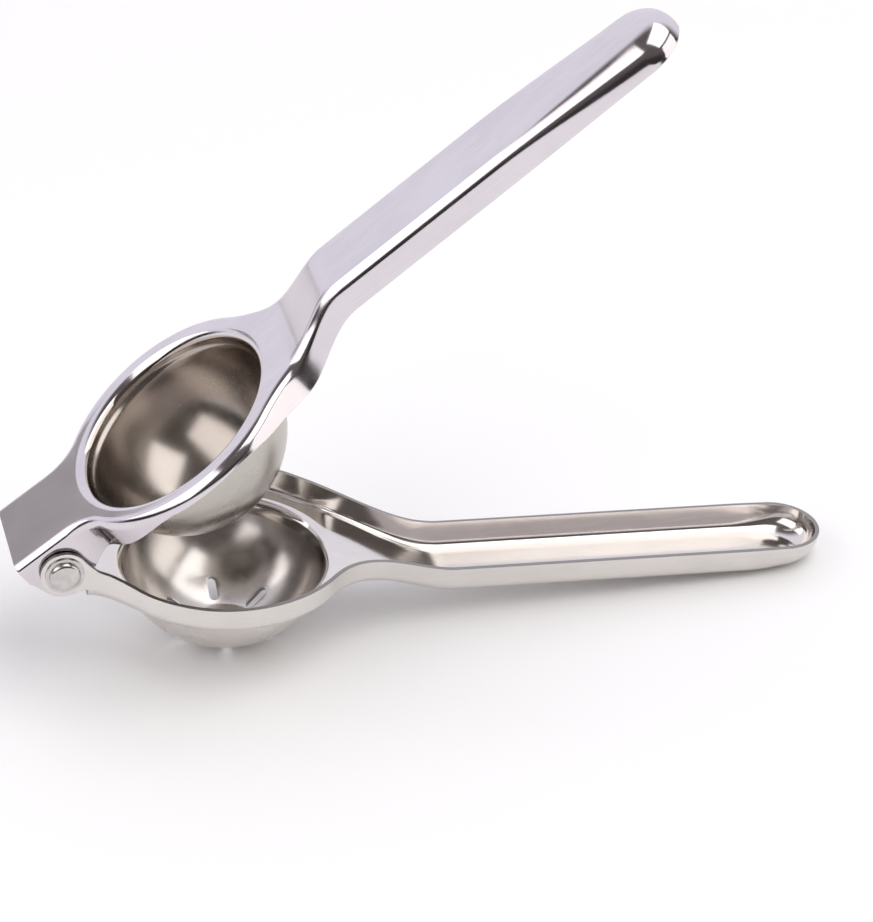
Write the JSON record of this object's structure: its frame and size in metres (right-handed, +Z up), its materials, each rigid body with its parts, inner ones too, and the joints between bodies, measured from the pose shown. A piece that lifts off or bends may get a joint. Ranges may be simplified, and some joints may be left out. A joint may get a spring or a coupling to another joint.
{
  "type": "citrus press",
  "caption": "Hand-held hinged lemon squeezer of stamped steel: a domed press cup closes into a slotted juice bowl between two channel-section handles.",
  "frame": {"origin": "middle of the stored press's bounding box in plan, on the table plane that the bowl's foot and the lower handle's heel stand on", "axes": "+X from the hinge towards the handle ends, +Y across the press along the hinge axis, +Z up"},
  "size_m": [0.2266, 0.0712, 0.1732],
  "materials": {
    "bowl_steel": "polished stainless sheet",
    "press_steel": "polished stainless sheet",
    "pin_steel": "turned and peened, satin"
  },
  "bodies": {
    "bowl_side": {"bowl_arm": "bowl_steel", "hinge_pin": "pin_steel", "washer_front": "pin_steel", "washer_rear": "pin_steel", "spacer_sleeve": "pin_steel"},
    "press_side": {"press_arm": "press_steel"}
  },
  "joints": [
    {"name": "arm_hinge", "type": "hinge", "parent": "bowl_side", "child": "press_side", "pos_m": [-0.10046, 0, 0.03449], "axis": [0, -1, 0], "range_deg": [-41, 110]}
  ]
}
